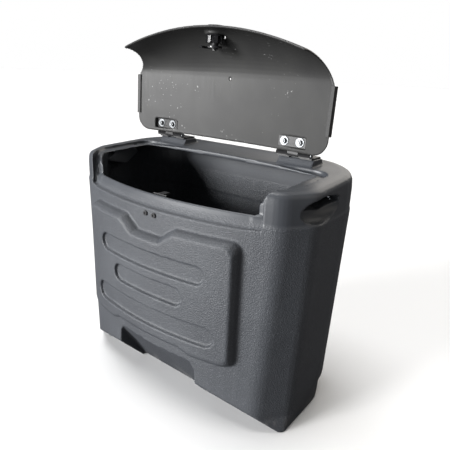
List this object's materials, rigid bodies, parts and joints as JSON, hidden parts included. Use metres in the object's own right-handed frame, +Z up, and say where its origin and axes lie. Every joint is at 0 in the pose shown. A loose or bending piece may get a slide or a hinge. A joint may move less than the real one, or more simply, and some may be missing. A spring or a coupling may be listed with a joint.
{
  "type": "attached lid tote",
  "caption": "Moulded black bin with hand-hold pockets, a raised slotted front panel and a curved lid on two pinned hinges with a quarter-turn latch.",
  "frame": {"origin": "middle of the bounding box, on the surface that the tub stands on, with the lid open", "axes": "+Z up, -Y towards the front with the raised panel, X along the width and the hinge line; the lid stands open at the rear as stored"},
  "size_m": [0.576, 0.333, 0.737],
  "materials": {
    "tub": "fine moulded grain",
    "lid": "satin",
    "trim": "matt",
    "hinge": "black powder coat",
    "zinc": "bright zinc plate",
    "latch": "gloss black"
  },
  "bodies": {
    "tub": {"tub_shell": "tub", "hinge_leaf_tub_left": "hinge", "hinge_leaf_tub_right": "hinge", "hinge_pin_left": "zinc", "hinge_pin_right": "zinc", "tub_bolts_left": "zinc", "tub_bolts_right": "zinc", "tub_nuts_left": "zinc", "tub_nuts_right": "zinc", "striker_plate": "hinge", "striker_screws": "hinge", "striker_nuts": "zinc"},
    "lid": {"lid_shell": "lid", "lid_edge_trim_left": "trim", "lid_edge_trim_right": "trim", "hinge_leaf_lid_left": "hinge", "hinge_leaf_lid_right": "hinge", "backing_plate_left": "hinge", "backing_plate_right": "hinge", "lid_bolts_left": "zinc", "lid_bolts_right": "zinc", "lid_washers_left": "zinc", "lid_washers_right": "zinc", "lid_nuts_left": "zinc", "lid_nuts_right": "zinc", "latch_body": "latch", "latch_gasket": "trim", "latch_nut": "latch"},
    "latch": {"latch_key_boss": "zinc", "latch_spindle": "hinge", "latch_cam": "latch", "latch_cam_screw": "hinge"}
  },
  "joints": [
    {"name": "lid_hinge", "type": "hinge", "parent": "tub", "child": "lid", "pos_m": [0, 0.0755, 0.511], "axis": [1, 0, 0], "range_deg": [0, 92.5]},
    {"name": "latch_turn", "type": "hinge", "parent": "lid", "child": "latch", "pos_m": [0, 0.02757, 0.72], "axis": [0, 0.0436, 0.999], "range_deg": [0, 90]}
  ]
}
